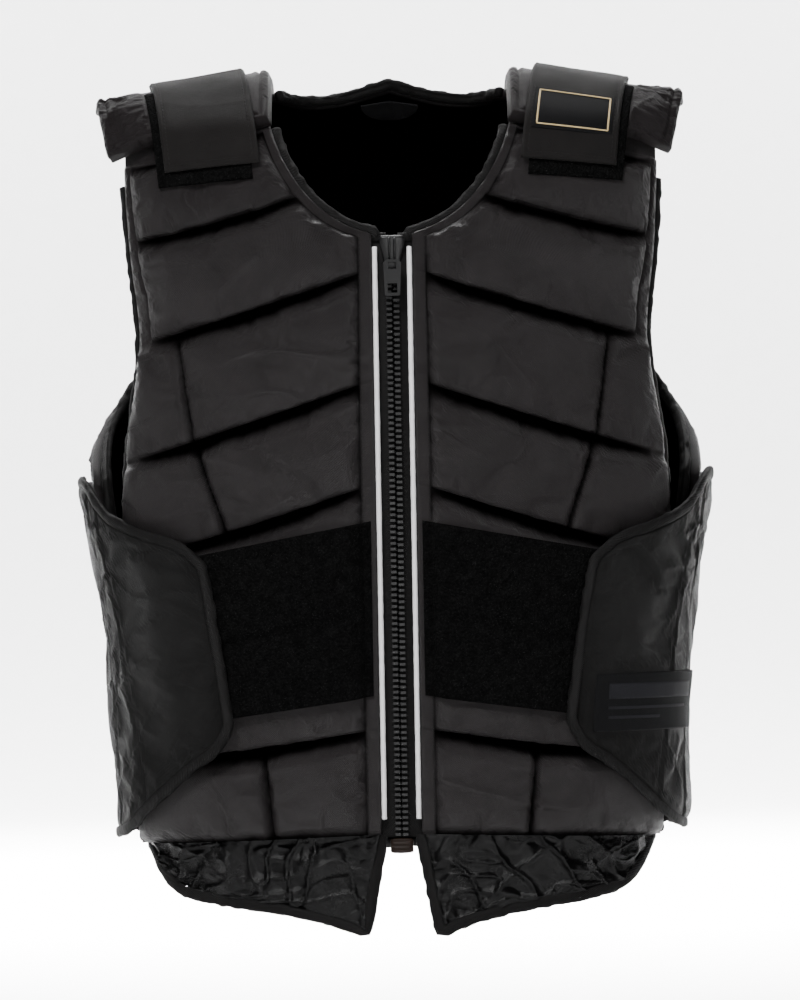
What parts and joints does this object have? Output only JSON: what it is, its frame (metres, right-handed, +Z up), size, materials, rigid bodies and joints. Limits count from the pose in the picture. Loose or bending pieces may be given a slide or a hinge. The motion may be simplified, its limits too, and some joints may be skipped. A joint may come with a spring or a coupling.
{
  "type": "equestrian body protector",
  "caption": "Padded riding vest in its worn form with quilted front and back, zipped front, shoulder straps and waist flaps.",
  "frame": {"origin": "midway between the two shoulder bridges, at the height where they bear on the wearer's shoulders", "axes": "+Z up along the body, the zipped front faces -Y, +X is the wearer's left"},
  "size_m": [0.4242, 0.2473, 0.5796],
  "materials": {
    "pad_cloth": "black coated polyester over foam, soft sheen",
    "strap_cloth": "black woven tape, matte",
    "loop_cloth": "black loop tape, matte",
    "flap_cloth": "black nylon, soft sheen",
    "skirt_cloth": "thin black nylon, crinkled, glossy sheen",
    "binding": "black folded tape",
    "label_cloth": "woven label",
    "reflective_piping": "pale reflective cord",
    "zip_plastic": "black moulded plastic",
    "retainer_plastic": "dark brown moulded plastic"
  },
  "bodies": {
    "vest": {"front_panel_left": "pad_cloth", "front_panel_right": "pad_cloth", "back_panel": "pad_cloth", "shoulder_bridge_left": "pad_cloth", "shoulder_bridge_right": "pad_cloth", "strap_loop_patch_left": "loop_cloth", "strap_loop_patch_right": "loop_cloth", "shoulder_strap_left": "strap_cloth", "shoulder_strap_right": "strap_cloth", "strap_patch": "label_cloth", "waist_loop_patch_left": "loop_cloth", "waist_loop_patch_right": "loop_cloth", "side_flap_left": "flap_cloth", "side_flap_right": "flap_cloth", "flap_patch": "label_cloth", "hem_skirt_left": "skirt_cloth", "hem_skirt_right": "skirt_cloth", "front_neck_binding_left": "binding", "front_neck_binding_right": "binding", "armhole_binding_left": "binding", "armhole_binding_right": "binding", "back_side_binding_left": "binding", "back_side_binding_right": "binding", "back_neck_binding": "binding", "back_hem_binding": "binding", "flap_binding_left": "binding", "flap_binding_right": "binding", "hem_binding_left": "binding", "hem_binding_right": "binding", "zip_tape_left": "binding", "zip_tape_right": "binding", "zip_teeth_left": "zip_plastic", "zip_teeth_right": "zip_plastic", "piping_left": "reflective_piping", "piping_right": "reflective_piping", "zip_bottom_box": "retainer_plastic", "neck_label": "label_cloth", "zip_slider": "zip_plastic"},
    "pull": {"zip_pull": "zip_plastic"}
  },
  "joints": [
    {"name": "zip_pull_hinge", "type": "hinge", "parent": "vest", "child": "pull", "pos_m": [0, -0.1103, -0.10284], "axis": [-1, 0, 0], "range_deg": [0, 150]}
  ]
}
